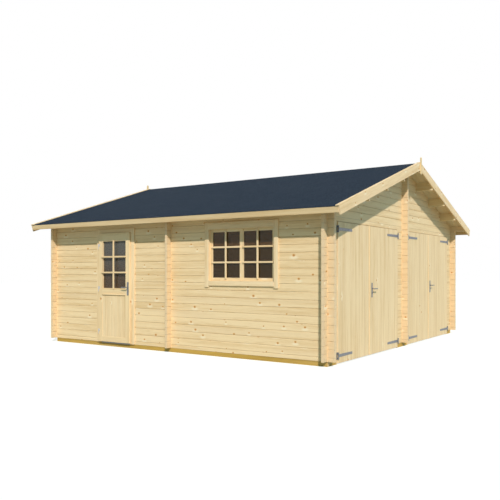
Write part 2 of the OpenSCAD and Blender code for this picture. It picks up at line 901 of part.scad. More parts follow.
// Straps on one leaf, hinged on the left (-1) or right (1) of its bay
module straps(bay, side) {
    face = garage_face + hairline;
    root = side * garage_pin_u;
    edge = side * (leaf_u - hairline);
    tip = side * (garage_pin_u - strap_len);
    eye_edge = side * (garage_pin_u - knuckle_r);
    half = strap_h / 2;
    color(iron)
        for (z = strap_zs)
            translate([0, bay * bay_y, z])
                difference() {
                    union() {
                        along_x(face, face + iron_t) polygon([
                            [edge, -half], [edge, half], [tip, strap_tip_h / 2], [tip, -strap_tip_h / 2]
                        ]);
                        block([face, eye_edge, -half], [garage_pin_x, edge, half]);
                        translate([garage_pin_x, root, -half]) cylinder(r = knuckle_r, h = strap_h);
                    }
                    translate([garage_pin_x, root, -strap_h]) cylinder(r = eye_r, h = 2 * strap_h);
                }
}

module left_bay_left_straps() straps(-1, -1);
module left_bay_right_straps() straps(-1, 1);
module right_bay_left_straps() straps(1, -1);
module right_bay_right_straps() straps(1, 1);

// Boarded leaf with its back frame and one brace, and a cover strip on the left leaf of a bay
module garage_leaf(bay, side) {
    free = meeting_gap / 2;
    mid_z = (garage_leaf_lift + garage_top) / 2;
    board_x = garage_face - garage_board_t;
    inner_u = free + garage_rail_w;
    outer_u = leaf_u - garage_rail_w;
    pocket_low = garage_leaf_lift + garage_rail_w;
    pocket_high = garage_top - garage_rail_w;
    half_rail = garage_rail_w / 2;
    color(pine)
        translate([0, bay * bay_y, 0]) {
            difference() {
                block([garage_back, side * free, garage_leaf_lift],
                      [garage_face, side * leaf_u, garage_top]);
                for (zs = [[pocket_low, mid_z - half_rail], [mid_z + half_rail, pocket_high]])
                    difference() {
                        block([garage_back - over, side * inner_u, zs[0]],
                              [board_x, side * outer_u, zs[1]]);
                        along_x(garage_back - 2 * over, board_x + over) polygon([
                            [side * outer_u, zs[0] - half_rail], [side * outer_u, zs[0] + half_rail],
                            [side * inner_u, zs[1] + half_rail], [side * inner_u, zs[1] - half_rail]
                        ]);
                    }
            }
            if (side < 0)
                block([garage_face - hairline, -free - cover_strip_w, garage_leaf_lift],
                      [garage_face + cover_strip_t, -free, garage_top]);
        }
}

module left_bay_left_leaf() garage_leaf(-1, -1);
module left_bay_right_leaf() garage_leaf(-1, 1);
module right_bay_left_leaf() garage_leaf(1, -1);
module right_bay_right_leaf() garage_leaf(1, 1);

// Handle on the right leaf of a bay, its lever towards the hinges
module garage_handle(bay) {
    color(iron)
        translate([garage_face + hairline, bay * bay_y + meeting_gap / 2 + garage_backset, garage_handle_z])
            mirror([0, 1, 0]) rotate([0, 0, 90]) handle();
}

module left_bay_handle() garage_handle(-1);
module right_bay_handle() garage_handle(1);

base_beams();
door_wall_rear_logs();
door_wall_front_logs();
door_wall_top_logs();
far_wall_logs();
rear_gable_logs();
front_left_corner_logs();
front_right_corner_logs();
front_pier_logs();
front_gable_top_logs();
door_wall_stiffener();
far_wall_stiffener();
front_stiffener();
rear_stiffener();
purlins();
door_side_roof_boards();
far_side_roof_boards();
door_side_roofing();
far_side_roofing();
fascias();
front_bargeboards();
rear_bargeboards();
finials();
side_door_frame();
side_door_threshold();
side_door_leaf();
side_door_glass();
side_door_handle();
side_door_hinge_pins();
side_door_hinge_flaps();
window_frame();
window_sashes();
window_glass();
garage_door_frames();
garage_hinge_plates();
left_bay_left_leaf();
left_bay_right_leaf();
right_bay_left_leaf();
right_bay_right_leaf();
left_bay_left_straps();
left_bay_right_straps();
right_bay_left_straps();
right_bay_right_straps();
left_bay_handle();
right_bay_handle();
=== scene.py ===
# %% [markdown]
# # A log garage cabin
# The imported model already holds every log, board, leaf and hinge at its real size. This lesson dresses it:
# it sets the camera and the light, makes the finishes from nodes, and models the small things that a
# carpenter adds last, such as boards, glazing bars, handles and bolts. All lengths are in metres.

# %% Load the frame
import math

import bpy
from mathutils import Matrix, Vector


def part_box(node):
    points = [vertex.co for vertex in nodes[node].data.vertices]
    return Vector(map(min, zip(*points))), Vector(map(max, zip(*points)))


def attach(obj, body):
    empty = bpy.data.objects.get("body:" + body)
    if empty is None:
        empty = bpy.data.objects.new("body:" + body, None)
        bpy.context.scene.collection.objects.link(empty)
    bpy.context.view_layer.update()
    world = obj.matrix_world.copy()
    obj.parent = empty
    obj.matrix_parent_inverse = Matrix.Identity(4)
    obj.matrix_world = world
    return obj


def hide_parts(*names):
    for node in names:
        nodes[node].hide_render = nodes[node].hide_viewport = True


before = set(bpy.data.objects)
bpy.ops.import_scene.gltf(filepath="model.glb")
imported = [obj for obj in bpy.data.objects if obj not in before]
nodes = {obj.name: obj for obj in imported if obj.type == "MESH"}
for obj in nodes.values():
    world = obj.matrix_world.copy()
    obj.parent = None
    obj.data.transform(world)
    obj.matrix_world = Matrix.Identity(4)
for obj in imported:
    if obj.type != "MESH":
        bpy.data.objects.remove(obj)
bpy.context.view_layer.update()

# %% [markdown]
# ## Camera
# A level camera with a raised frame keeps the walls upright, as in a catalogue picture. Its place was
# solved from the vanishing points of the logs and the eaves, so the numbers below are a photographer's
# tripod.

# %% Camera
PICTURE_PX = 500
FOCAL_PX = 628.42
HORIZON_PX = 270.39
SENSOR = 36.0
EYE = (6.859, -10.673, 1.338)
HEADING = math.radians(34.096)

lens = bpy.data.cameras.new("photo_camera")
lens.sensor_fit = "HORIZONTAL"
lens.sensor_width = SENSOR
lens.lens = SENSOR * FOCAL_PX / PICTURE_PX
lens.shift_y = (HORIZON_PX - PICTURE_PX / 2) / PICTURE_PX
camera = bpy.data.objects.new("photo_camera", lens)
camera.location = EYE
camera.rotation_euler = (math.pi / 2, 0, HEADING)
bpy.context.scene.collection.objects.link(camera)
bpy.context.scene.camera = camera
print("camera at", EYE, "with a lens of", round(lens.lens, 2), "mm")

# %% [markdown]
# ## Shader maths as expressions
# Node trees are easier to read as formulas. `Value` wraps one socket, and arithmetic on it adds Math nodes.
# `Finish` holds one node tree, and its `node` method makes every other node from its type, its settings and
# its inputs.

# %% Value
class Value:
    """One socket of a node tree. Arithmetic on it adds Math nodes."""

    def __init__(self, finish, socket):
        self.finish = finish
        self.socket = socket

    def math(self, operation, *terms):
        return self.finish.node("ShaderNodeMath", {"operation": operation}, dict(enumerate(terms)))

    def __add__(self, other):
        return self.math("ADD", self, other)

    def __sub__(self, other):
        return self.math("SUBTRACT", self, other)

    def __rsub__(self, other):
        return self.math("SUBTRACT", other, self)

    def __mul__(self, other):
        return self.math("MULTIPLY", self, other)

    def __truediv__(self, other):
        return self.math("DIVIDE", self, other)

    def __rtruediv__(self, other):
        return self.math("DIVIDE", other, self)

    def __pow__(self, power):
        return self.math("POWER", self, power)

    def __gt__(self, other):
        return self.math("GREATER_THAN", self, other)

    def __lt__(self, other):
        return self.math("LESS_THAN", self, other)

    def __abs__(self):
        return self.math("ABSOLUTE", self)

    def __floor__(self):
        return self.math("FLOOR", self)

    __radd__ = __add__
    __rmul__ = __mul__

    def output(self, name):
        """Another output of the same node."""
        return Value(self.finish, self.socket.node.outputs[name])


print("values can be added, scaled and compared")

# %% Finish of a material or of the world
# places of the colour sockets on a Mix node
MIX_SHARE = 0
MIX_FIRST = 6
MIX_SECOND = 7
MIX_RESULT = 2


class Finish:
    """One node tree, of a material or of the world."""

    def __init__(self, owner):
        owner.use_nodes = True
        self.owner = owner
        self.tree = owner.node_tree
        self.tree.nodes.clear()

    def node(self, kind, settings=None, inputs=None, output=0):
        made = self.tree.nodes.new(kind)
        for name, setting in (settings or {}).items():
            setattr(made, name, setting)
        for name, given in (inputs or {}).items():
            if isinstance(given, Value):
                self.tree.links.new(given.socket, made.inputs[name])
            else:
                made.inputs[name].default_value = given
        return Value(self, made.outputs[output]) if made.outputs else None

    def blend(self, share, first, second):
        """The first colour where share is 0, the second where it is 1."""
        settings = {"data_type": "RGBA", "clamp_factor": True}
        inputs = {MIX_SHARE: share, MIX_FIRST: first, MIX_SECOND: second}
        return self.node("ShaderNodeMix", settings, inputs, MIX_RESULT)

    def vector(self, operation, *terms, output=0):
        return self.node("ShaderNodeVectorMath", {"operation": operation}, dict(enumerate(terms)), output)

    def dot(self, first, second):
        return self.vector("DOT_PRODUCT", first, second, output="Value")

    def scaled(self, vector, factor):
        return self.node("ShaderNodeVectorMath", {"operation": "SCALE"}, {0: vector, "Scale": factor})

    def combine(self, x, y, z):
        return self.node("ShaderNodeCombineXYZ", None, {0: x, 1: y, 2: z})

    def step(self, value, low, high):
        """Goes smoothly from 0 at low to 1 at high."""
        inputs = {"Value": value, "From Min": low, "From Max": high}
        return self.node("ShaderNodeMapRange", {"interpolation_type": "SMOOTHSTEP"}, inputs)

    def noise(self, place, scale, detail=2.0, rough=0.5):
        return self.node("ShaderNodeTexNoise", None, {"Vector": place, "Scale": scale, "Detail": detail,
                                                      "Roughness": rough})

    def place(self):
        return self.node("ShaderNodeTexCoord", output="Object")

    def axes(self):
        """The place's X. Y and Z are other outputs of the same node."""
        return self.node("ShaderNodeSeparateXYZ", None, {0: self.place()})

    def facing(self):
        return self.node("ShaderNodeTexCoord", output="Normal")

    def surface(self, colour, rough, height=None, bump=0.2, depth=0.001, **constants):
        inputs = {"Base Color": colour, "Roughness": rough}
        if height is not None:
            inputs["Normal"] = self.node("ShaderNodeBump", None,
                                         {"Strength": bump, "Distance": depth, "Height": height})
        for name, number in constants.items():
            inputs[name.replace("_", " ")] = number
        shader = self.node("ShaderNodeBsdfPrincipled", None, inputs)
        self.node("ShaderNodeOutputMaterial", None, {"Surface": shader})
        return self.owner


def new_finish(name):
    return Finish(bpy.data.materials.new(name))


print("finishes can be made")

# %% [markdown]
# ## Light and background
# The key lamp stands to the right, over the viewer's shoulder. A broad warm lamp behind the building keeps
# its far sides from going dark, and a weak cool one faces the gable. An even fill comes from all round. A
# white background needs no extra light: only camera, mirror and glass rays see it, and the fill stays
# plain.

# %% Light and background
# the way to each lamp, its level, its tint, and how broad it is in degrees
LAMPS = {
    "key_lamp": ((1.0, -1.055, 1.11), 3.3, (1.0, 0.935, 0.925), 1.2),
    "back_lamp": ((-1.0, 1.0, 0.15), 1.8, (1.0, 0.91, 0.84), 20.0),
    "gable_lamp": ((1.0, 0.3, 0.2), 0.24, (0.05, 0.45, 1.0), 60.0)}
FILL = (0.206, 0.347, 0.415, 1.0)
WHITE = (1.0, 1.0, 1.0, 1.0)


def background_rays(finish):
    """1 for the rays that see the white background: those of the camera, of mirrors and of glass."""
    ray = finish.node("ShaderNodeLightPath", output="Is Camera Ray")
    seen = ray.math("MAXIMUM", ray, ray.output("Is Glossy Ray"))
    return ray.math("MAXIMUM", seen, ray.output("Is Transmission Ray"))


for name, (towards, level, tint, soft) in LAMPS.items():
    lamp = bpy.data.lights.new(name, "SUN")
    lamp.energy = level
    lamp.color = tint
    lamp.angle = math.radians(soft)
    stand = bpy.data.objects.new(name, lamp)
    stand.rotation_euler = Vector(towards).to_track_quat("Z", "Y").to_euler()
    bpy.context.scene.collection.objects.link(stand)

bpy.context.scene.view_settings.view_transform = "Standard"
world = bpy.data.worlds.new("studio")
bpy.context.scene.world = world
sky = Finish(world)
fill = sky.node("ShaderNodeBackground", None, {"Color": FILL})
white = sky.node("ShaderNodeBackground", None, {"Color": WHITE})
both = sky.node("ShaderNodeMixShader", None, {0: background_rays(sky), 1: fill, 2: white})
sky.node("ShaderNodeOutputWorld", None, {"Surface": both})
print(len(LAMPS), "lamps and an even fill")

# %% [markdown]
# ## Floor
# The floor is a wide pale disc that keeps the building's shadow. It is lifted to white for the same rays as
# the background, but not inside the walls, so an open door shows a shaded room.

# %% Floor
FLOOR_SIZE = 120.0
FLOOR_SIDES = 64
FLOOR_GREY = (0.41, 0.43, 0.37, 1.0)
FLOOR_GLOW = 0.66
ROOM_HALF = 2.85
ROOM_FADE = 1.0
ROOM_DIM = (0.06, 0.06, 0.06, 1.0)

bpy.ops.object.select_all(action="DESELECT")
bpy.ops.mesh.primitive_circle_add(vertices=FLOOR_SIDES, radius=FLOOR_SIZE / 2, fill_type="NGON")
floor = bpy.context.object
floor.name = "studio_floor"
pale = new_finish("pale_floor")
dull = pale.node("ShaderNodeBsdfDiffuse", None, {"Color": FLOOR_GREY})
floor_x = pale.axes()
furthest = floor_x.math("MAXIMUM", abs(floor_x), abs(floor_x.output("Y")))
indoors = 1.0 - pale.step(furthest, ROOM_HALF - ROOM_FADE, ROOM_HALF)
glow_tint = pale.blend(indoors, WHITE, ROOM_DIM)
glow = pale.node("ShaderNodeEmission", None, {"Color": glow_tint, "Strength": FLOOR_GLOW})
lifted = pale.node("ShaderNodeAddShader", None, {0: dull, 1: glow})
shown = pale.node("ShaderNodeMixShader", None, {0: background_rays(pale), 1: dull, 2: lifted})
pale.node("ShaderNodeOutputMaterial", None, {"Surface": shown})
floor.data.materials.append(pale.owner)
print("a pale floor", FLOOR_SIZE, "m across")

# %% [markdown]
# ## Knots
# A knot is the stump of a branch: an orange-brown disc with a dark edge and a warm halo. Beside it a pale
# flame is a painted highlight, where the grain that swings round it would catch the light. Knots could be set
# one by one, but a wall has hundreds. Here a board is cut into cells, and a random draw in each says whether
# it holds a knot, where, and how large.

# %% Knots
KNOT = (0.540, 0.215, 0.030, 1.0)
KNOT_EDGE = (0.170, 0.062, 0.018, 1.0)
KNOT_HALO = (0.790, 0.390, 0.095, 1.0)
FLAME_HIGHLIGHT = (0.980, 0.850, 0.600, 1.0)
KNOT_STEP = 0.34
KNOT_SHARE = 0.40
CELL_SHIFT = 0.37
CELL_MARGIN = 0.2
KNOT_LENGTHEN = 0.8
KNOT_R = 0.005
KNOT_R_SPREAD = 0.009
FLAME_OFF = 0.03
FLAME_SIZE = 2.6
FLAME_LENGTHEN = 0.5
# where each mask starts and ends, in radii
CORE_RIM = (0.80, 1.15)
EDGE_RIM = (0.55, 0.95)
HALO_RIM = (0.9, 2.2)
FLAME_RIM = (0.3, 1.1)


def knot_layers(finish, along, across, board, width, chance):
    """Masks and tints of the knots, to be laid over the wood in this order."""
    cell_along = along / KNOT_STEP + board * CELL_SHIFT
    cell_across = across / width
    column = math.floor(cell_along)
    row = math.floor(cell_across)
    dice = finish.node("ShaderNodeTexWhiteNoise", {"noise_dimensions": "3D"},
                       {"Vector": finish.combine(column, row, board)}, "Color")
    first = finish.node("ShaderNodeSeparateColor", None, {0: dice})
    second = first.output("Green")
    third = first.output("Blue")
    room = 1.0 - 2 * CELL_MARGIN
    from_along = (cell_along - column - (CELL_MARGIN + room * first)) * (KNOT_STEP * KNOT_LENGTHEN)
    from_across = (cell_across - row - (CELL_MARGIN + room * second)) * width
    size = KNOT_R + KNOT_R_SPREAD * third
    reach = (from_along * from_along + from_across * from_across) ** 0.5 / size
    present = dice.output("Value") < chance
    core = (1.0 - finish.step(reach, *CORE_RIM)) * present
    edge = core * finish.step(reach, *EDGE_RIM)
    halo = (1.0 - finish.step(reach, *HALO_RIM)) * present
    # the pale flame is a painted highlight, laid on the same side of every knot
    beside = ((from_along * FLAME_LENGTHEN) ** 2.0 + (from_across + FLAME_OFF) ** 2.0) ** 0.5
    flame_highlight = (1.0 - finish.step(beside / (size * FLAME_SIZE), *FLAME_RIM)) * present
    return (flame_highlight * 0.60, FLAME_HIGHLIGHT), (halo * 0.60, KNOT_HALO), (core * 0.78, KNOT), (edge * 0.40, KNOT_EDGE)


print("a knot in", KNOT_SHARE, "of the cells of", KNOT_STEP, "m")

# %% [markdown]
# ## Pine
# Planed pine is pale, with streaks that run along the grain and a tone of its own in every board. The
# recipe below takes the grain's direction as a vector, so one recipe serves lying logs, upright boards and
# sloping trim. The pattern stretches along the grain, and faces that look along the grain show end grain:
# year rings round the heart of the trunk.

# %% Pine recipe
EARLY = (0.910, 0.702, 0.405, 1.0)
LATE = (0.680, 0.450, 0.195, 1.0)
WARM = (0.765, 0.573, 0.342, 1.0)
END_PALE = (0.880, 0.680, 0.415, 1.0)
END_RING = (0.720, 0.480, 0.250, 1.0)
# the tint of the painted shade in the gap between two pieces
GAP_SHADE_TINT = (0.260, 0.190, 0.110, 1.0)
BOARD_SHIFT = (1.7, 0.9, 2.3)
GRAIN_SQUEEZE = 0.96
SLOW_STREAKS = 7.0
BROAD_STREAKS = 16.0
FINE_STREAKS = 120.0
RING_STEP = 0.0045
RING_WAVER = 3.0
# where each streak starts and ends in its noise, and how strongly it shows
SLOW_RANGE = (0.52, 0.72)
BROAD_RANGE = (0.35, 0.75)
FINE_RANGE = (0.4, 0.72)
SLOW_SHARE = 0.30
BROAD_SHARE = 0.56
FINE_SHARE = 0.32
STREAK_BASE = 0.16
STUB_SHARE = 0.62
# where a year's late wood starts and ends, and how far a face looks along the grain to show end grain
RING_RANGE = (0.35, 0.95)
END_RANGE = (0.6, 0.8)


def year_rings(finish, here, grain, heart, waver, tone):
    """The colour of end grain, in rings round the line through heart."""
    spoke = finish.vector("SUBTRACT", here, heart)
    spoke = finish.vector("SUBTRACT", spoke, finish.scaled(grain, finish.dot(spoke, grain)))
    year = finish.vector("LENGTH", spoke, output="Value") / RING_STEP + waver
    late_year = finish.step(year - math.floor(year), *RING_RANGE)
    return finish.blend(late_year * 0.60 + tone * 0.15, END_PALE, END_RING)


def pine(finish, grain, board, width, early=EARLY, late=LATE, knots=KNOT_SHARE, end_grain=1.0, warm=0.0,
         gap_shade=0.0, spread=0.22, heart=(0.0, 0.0, 0.0)):
    """Pine with its grain along a vector. board numbers the pieces, width is how wide one is, knots is the
    share of cells with a knot, end_grain is how plainly the rings show, warm is 1 where the wood is warmer,
    gap_shade is 1 where painted shade darkens the gap between two pieces, spread is how much the tone
    changes from piece to piece, and heart is a point on the line that the year rings go round."""
    here = finish.place()
    along = finish.dot(here, grain)
    across = finish.dot(here, finish.vector("CROSS_PRODUCT", finish.facing(), grain))
    tone = finish.node("ShaderNodeTexWhiteNoise", {"noise_dimensions": "1D"}, {"W": board + 0.5}, "Value")

    # the place is squeezed along the grain, so the noise stretches there
    squeezed = finish.vector("SUBTRACT", here, finish.scaled(grain, along * GRAIN_SQUEEZE))
    squeezed = finish.vector("ADD", squeezed, finish.combine(*(board * shift for shift in BOARD_SHIFT)))
    slow = finish.noise(squeezed, SLOW_STREAKS)
    broad = finish.noise(squeezed, BROAD_STREAKS, detail=3.0)
    fine = finish.noise(squeezed, FINE_STREAKS, rough=0.6)
    streak = finish.step(broad, *BROAD_RANGE) * BROAD_SHARE + finish.step(fine, *FINE_RANGE) * FINE_SHARE
    colour = finish.blend(streak + tone * spread - STREAK_BASE, early, late)
    colour = finish.blend(finish.step(slow, *SLOW_RANGE) * SLOW_SHARE + warm * STUB_SHARE, colour, WARM)
    for mask, tint in knot_layers(finish, along, across, board, width, knots):
        colour = finish.blend(mask, colour, tint)

    ends = finish.step(abs(finish.dot(finish.facing(), grain)), *END_RANGE) * end_grain
    rings = year_rings(finish, here, grain, heart, slow * RING_WAVER + broad, tone)
    colour = finish.blend(ends, colour, rings)
    # painted shade in the gap between two pieces
    colour = finish.blend(gap_shade, colour, GAP_SHADE_TINT)
    return finish.surface(colour, 0.58 + fine * 0.16, fine + broad * 0.5, bump=0.25, depth=0.0012,
                          Specular_IOR_Level=0.3)


print("pine with rings", RING_STEP, "m apart")

# %% [markdown]
# ## Logs
# The side walls' logs lie along the ridge and the gables' logs across it, half a course higher, so each has
# a recipe of its own. The course number, counted from the height, gives every log its own tone and knots.
# The ends that stand out past a corner are warmer, and the year rings of each log go round a heart of its
# own.

# %% Logs
GROUND_TO_LOGS = 0.070
COURSE = 0.113
LOG_T = 0.044
X_LOGS = ("door_wall_rear_logs", "door_wall_front_logs", "door_wall_top_logs", "far_wall_logs",
          "front_stiffener", "rear_stiffener")
Y_LOGS = ("rear_gable_logs", "front_left_corner_logs", "front_right_corner_logs", "front_pier_logs",
          "front_gable_top_logs", "door_wall_stiffener", "far_wall_stiffener")
ALONG_X = (1.0, 0.0, 0.0)
ALONG_Y = (0.0, 1.0, 0.0)
ALONG_Z = (0.0, 0.0, 1.0)
WALL_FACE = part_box("garage_door_frames")[1].x
WALL_STEP = 2.0
WALL_NUMBERS = 29.0
JOINT_HALF = 0.0022
GAP_SHADE_SHARE = 0.45
HEART_OFF = 0.06
GABLE_EARLY = (0.890, 0.690, 0.395, 1.0)
GABLE_KNOTS = 0.22


def dress(node, material):
    mesh = nodes[node].data
    mesh.materials.clear()
    mesh.materials.append(material)


def log_finish(name, grain, first_joint, log_axis, wall_axis, early, knots):
    finish = new_finish(name)
    axes = finish.axes()
    across = axes.output(wall_axis)
    course = (axes.output("Z") - first_joint) / COURSE
    board = math.floor(course) + math.floor(across / WALL_STEP) * WALL_NUMBERS
    from_joint = abs(course - math.floor(course + 0.5)) * COURSE
    # painted shade along the gap between two logs
    gap_shade = (1.0 - finish.step(from_joint, JOINT_HALF * 0.5, JOINT_HALF * 1.5)) * GAP_SHADE_SHARE
    stub = abs(axes.output(log_axis)) > WALL_FACE + JOINT_HALF
    # the heart lies off the middle of the log, by another draw for each log
    dice = finish.node("ShaderNodeTexWhiteNoise", {"noise_dimensions": "1D"}, {"W": board + 0.25}, "Color")
    off = finish.node("ShaderNodeSeparateColor", None, {0: dice})
    depth = across.math("SIGN", across) * (WALL_FACE - LOG_T / 2) + (off - 0.5) * HEART_OFF
    level = first_joint + (math.floor(course) + off.output("Green")) * COURSE
    heart = finish.combine(depth, 0.0, level) if wall_axis == "X" else finish.combine(0.0, depth, level)
    return pine(finish, grain, board, COURSE, early, knots=knots, warm=stub, gap_shade=gap_shade, heart=heart)


x_log_pine = log_finish("side_wall_pine", ALONG_X, GROUND_TO_LOGS - COURSE / 2, "X", "Y", EARLY, KNOT_SHARE)
y_log_pine = log_finish("gable_pine", ALONG_Y, GROUND_TO_LOGS, "Y", "X", GABLE_EARLY, GABLE_KNOTS)
for name in X_LOGS:
    dress(name, x_log_pine)
for name in Y_LOGS:
    dress(name, y_log_pine)
print("dressed", len(X_LOGS) + len(Y_LOGS), "log nodes")

# %% [markdown]
# ## Roof trim and frames
# Fascias and purlins run along the ridge. Bargeboards follow the slope, so their grain turns with the
# pitch, to one side or the other by the sign of Y. A door or window frame has upright and lying pieces in
# one node, and a mask by place chooses the grain: 1 in the uprights, 0 elsewhere.

# %% Trim recipes
PITCH = math.radians(17.68)
TRIM_EARLY = (0.840, 0.670, 0.370, 1.0)
SLOPE_EARLY = (0.910, 0.678, 0.388, 1.0)
FASCIA_EARLY = (0.715, 0.535, 0.290, 1.0)
FASCIA_LATE = (0.570, 0.365, 0.155, 1.0)
FRAME_EARLY = (0.915, 0.715, 0.430, 1.0)
TRIM_W = 0.10
TRIM_NUMBERS = 0.7
GABLE_NUMBERS = 3.0
FRAME_NUMBER = 5.0


def trim_finish(name, grain, knots=0.5, early=TRIM_EARLY, late=LATE):
    finish = new_finish(name)
    board = math.floor(finish.axes().output("Y") * TRIM_NUMBERS)
    return pine(finish, grain, board, TRIM_W, early, late, knots)


def slope_finish(name):
    finish = new_finish(name)
    axes = finish.axes()
    slope_side = axes.math("SIGN", axes.output("Y"))
    grain = finish.combine(0.0, math.cos(PITCH), slope_side * -math.sin(PITCH))
    board = slope_side + math.floor(axes / WALL_STEP) * GABLE_NUMBERS
    return pine(finish, grain, board, TRIM_W, SLOPE_EARLY, knots=0.35, spread=0.10)


def frame_finish(name, middle, clear_half):
    """Uprights beside an opening in the side wall, lying pieces over and under it."""
    finish = new_finish(name)
    from_middle = finish.axes() - middle
    upright = abs(from_middle) > clear_half
    grain = finish.combine(1.0 - upright, 0.0, upright)
    board = upright * (math.floor(from_middle) + FRAME_NUMBER)
    return pine(finish, grain, board, TRIM_W, FRAME_EARLY, knots=0.04, spread=0.08)


print("trim recipes for a pitch of", round(math.degrees(PITCH), 2), "degrees")

# %% Trim
CASING_LAP = 0.02
sash_low, sash_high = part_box("window_sashes")
door_low, door_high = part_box("side_door_leaf")
window_middle = (sash_low.x + sash_high.x) / 2
door_middle = (door_low.x + door_high.x) / 2
window_half = (sash_high.x - sash_low.x) / 2
doorway_half = (door_high.x - door_low.x) / 2 - CASING_LAP

slope_pine = slope_finish("slope_pine")
dress("front_bargeboards", slope_pine)
dress("rear_bargeboards", slope_pine)
dress("purlins", trim_finish("ridge_pine", ALONG_X))
dress("fascias", trim_finish("fascia_pine", ALONG_X, 0.08, FASCIA_EARLY, FASCIA_LATE))
dress("finials", trim_finish("upright_pine", ALONG_Z, 0.1))
dress("garage_door_frames", pine(new_finish("post_pine"), ALONG_Z, 0.0, TRIM_W, FRAME_EARLY, knots=0.05))
dress("window_frame", frame_finish("window_pine", window_middle, window_half))
dress("side_door_frame", frame_finish("doorway_pine", door_middle, doorway_half))
print("dressed the trim and the frames")

# %% [markdown]
# ## Base timber and roofing
# The beams under the logs are pressure-treated, so they are olive to honey brown. The side beams lie along
# the ridge and the others across it. The roof sheet is bitumen with mineral grit: nearly black-blue, matt
# and faintly mottled.

# %% Base and roofing
TREATED_EARLY = (0.640, 0.400, 0.085, 1.0)
TREATED_LATE = (0.380, 0.230, 0.045, 1.0)
SIDE_BEAM_Y = 2.80
BEAM_H = 0.07
GRIT_DARK = (0.014, 0.020, 0.029, 1.0)
GRIT_LIGHT = (0.044, 0.060, 0.083, 1.0)
CLOUD = (0.050, 0.064, 0.082, 1.0)


def base_finish(name):
    finish = new_finish(name)
    side_beam = abs(finish.axes().output("Y")) > SIDE_BEAM_Y
    grain = finish.combine(side_beam, 1.0 - side_beam, 0.0)
    return pine(finish, grain, side_beam * 2.0, BEAM_H, TREATED_EARLY, TREATED_LATE, knots=0.0, end_grain=0.4)


def roofing_finish(name):
    finish = new_finish(name)
    here = finish.place()
    grit = finish.noise(here, 420.0, 2.0, 0.7)
    fleck = finish.noise(here, 45.0, 2.0, 0.6)
    cloud = finish.noise(here, 3.2, 4.0, 0.6)
    grain = finish.step(grit, 0.35, 0.70) * 0.6 + finish.step(fleck, 0.38, 0.66) * 0.4
    colour = finish.blend(grain, GRIT_DARK, GRIT_LIGHT)
    colour = finish.blend(finish.step(cloud, 0.35, 0.75) * 0.12, colour, CLOUD)
    return finish.surface(colour, 0.88 + grit * 0.1, grit, bump=0.5, depth=0.0015, Specular_IOR_Level=0.02)


roofing = roofing_finish("mineral_roofing")
dress("base_beams", base_finish("treated_timber"))
dress("door_side_roofing", roofing)
dress("far_side_roofing", roofing)
print("dressed the base and the roof")

# %% [markdown]
# ## Iron and glass
# The straps and handles are dull galvanised steel with a spangle, and the side door's hinges a brighter
# zinc. The glass is thin and clear, half covered by a brown film that is painted shade: it stands in for the
# dark room behind. Near the top of the window the film is lighter, painted light that lifts the eave's shadow
# on the top row of panes, and near the top of the door's pane it turns grey, a painted reflection of the sky.

# %% Iron and glass
IRON_DARK = (0.185, 0.190, 0.205, 1.0)
IRON_LIGHT = (0.275, 0.280, 0.290, 1.0)
ZINC_DARK = (0.520, 0.500, 0.500, 1.0)
ZINC_LIGHT = (0.670, 0.640, 0.630, 1.0)
# brown films are painted shade of the room; the window's upper tint is painted light, the door's a painted
# sky reflection
WINDOW_ROOM_SHADE_TINT = (0.061, 0.035, 0.010, 1.0)
WINDOW_PAINTED_LIGHT_TINT = (0.140, 0.072, 0.022, 1.0)
WINDOW_FADE = (1.62, 1.80)
DOOR_ROOM_SHADE_TINT = (0.115, 0.069, 0.037, 1.0)
DOOR_PAINTED_SKY_TINT = (0.150, 0.145, 0.125, 1.0)
DOOR_FADE = (1.05, 1.85)
IRON_NODES = ("side_door_threshold", "garage_hinge_plates", "left_bay_left_straps", "left_bay_right_straps",
              "right_bay_left_straps", "right_bay_right_straps")
ZINC_NODES = ("side_door_hinge_pins", "side_door_hinge_flaps")


def iron_finish(name, dark, light):
    finish = new_finish(name)
    here = finish.place()
    spangle = finish.node("ShaderNodeTexVoronoi", {"feature": "F1"},
                          {"Vector": here, "Scale": 140.0}, "Color")
    flake = finish.node("ShaderNodeSeparateColor", None, {0: spangle})
    smear = finish.noise(here, 30.0, 3.0)
    colour = finish.blend(flake * 0.6 + smear * 0.3, dark, light)
    return finish.surface(colour, 0.36 + smear * 0.2, smear, bump=0.1, depth=0.0006, Metallic=0.5)


def glass_finish(name, room_shade_tint, painted_top_tint, low, high):
    """Clear glass under a painted film: painted shade of the room below one height, another painted tint
    above the other.
    """
    finish = new_finish(name)
    height = finish.axes().output("Z")
    smear = finish.noise(finish.place(), 6.0, 3.0)
    # painted shade of the room low down, and higher up painted light on the window, a painted sky reflection
    # on the door
    colour = finish.blend(finish.step(height + smear * 0.05, low, high), room_shade_tint, painted_top_tint)
    return finish.surface(colour, 0.03 + smear * 0.05, Alpha=0.55, IOR=1.45)


iron = iron_finish("galvanised_iron", IRON_DARK, IRON_LIGHT)
zinc = iron_finish("bright_zinc", ZINC_DARK, ZINC_LIGHT)
for name in IRON_NODES:
    dress(name, iron)
for name in ZINC_NODES:
    dress(name, zinc)
dress("window_glass", glass_finish("window_pane", WINDOW_ROOM_SHADE_TINT, WINDOW_PAINTED_LIGHT_TINT, *WINDOW_FADE))
dress("side_door_glass", glass_finish("door_pane", DOOR_ROOM_SHADE_TINT, DOOR_PAINTED_SKY_TINT, *DOOR_FADE))
print("dressed", len(IRON_NODES) + len(ZINC_NODES), "nodes of iron and the panes")

# %% [markdown]
# ## A carpenter's helpers
# Every wooden piece starts as a cube that fills a box, gets its edges eased in edit mode, and is copied by
# an array. The bevel works on selected edges, so they are picked by a test on the place of their ends.

# %% Helpers for pieces
ON_AXIS = 0.9


